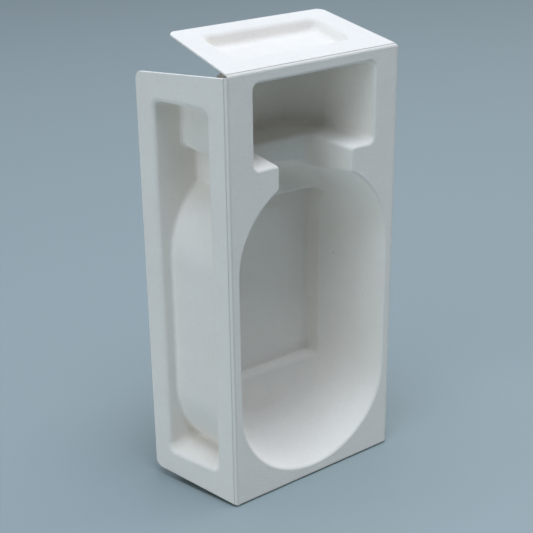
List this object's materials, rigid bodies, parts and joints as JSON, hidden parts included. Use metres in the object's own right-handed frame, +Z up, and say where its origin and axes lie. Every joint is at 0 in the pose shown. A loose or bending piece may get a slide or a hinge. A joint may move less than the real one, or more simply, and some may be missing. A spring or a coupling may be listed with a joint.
{
  "type": "molded pulp insert",
  "caption": "White molded pulp insert: an upright panel with a bottle-shaped recess, and folded-back flaps with pockets that hold and cushion the bottle in a carton.",
  "frame": {"origin": "centre of the bounding box's base, on the surface that the insert stands on", "axes": "+Z up; the recessed face looks along -Y and the flaps fold back along +Y; +X to the right of someone facing the recess"},
  "size_m": [0.1172, 0.049, 0.2089],
  "materials": {
    "pulp": "matt, fine-fibred, white"
  },
  "bodies": {
    "root": {"pulp_insert": "pulp"}
  },
  "joints": []
}
